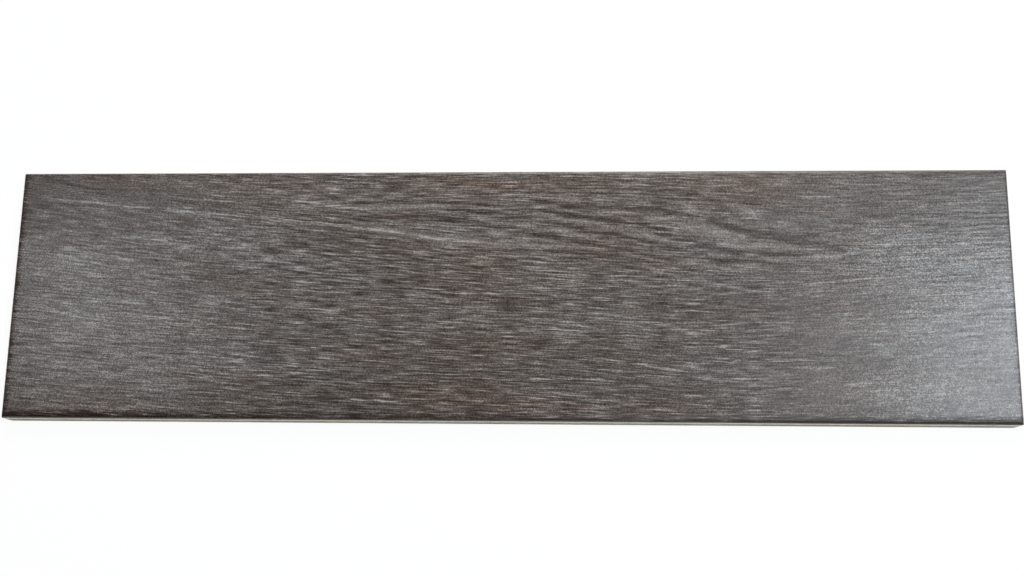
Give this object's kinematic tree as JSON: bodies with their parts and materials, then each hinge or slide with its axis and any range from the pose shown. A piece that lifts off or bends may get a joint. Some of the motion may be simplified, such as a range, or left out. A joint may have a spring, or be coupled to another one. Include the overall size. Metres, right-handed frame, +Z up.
{
  "type": "wood look porcelain plank tile",
  "caption": "Long flat plank tile in glazed porcelain with a wood grain face, cushioned pressed edges and a ribbed key back, for floors and walls.",
  "frame": {"origin": "middle of the back, on the plane that the tile beds on", "axes": "+X along the plank, +Y across it, +Z up out of the glazed face"},
  "size_m": [0.6, 0.154, 0.0105],
  "materials": {
    "glazed_porcelain": "satin glaze printed and pressed with a dark brown-grey wood grain, over a bare cream porcelain body"
  },
  "bodies": {
    "root": {"plank_tile": "glazed_porcelain"}
  },
  "joints": []
}
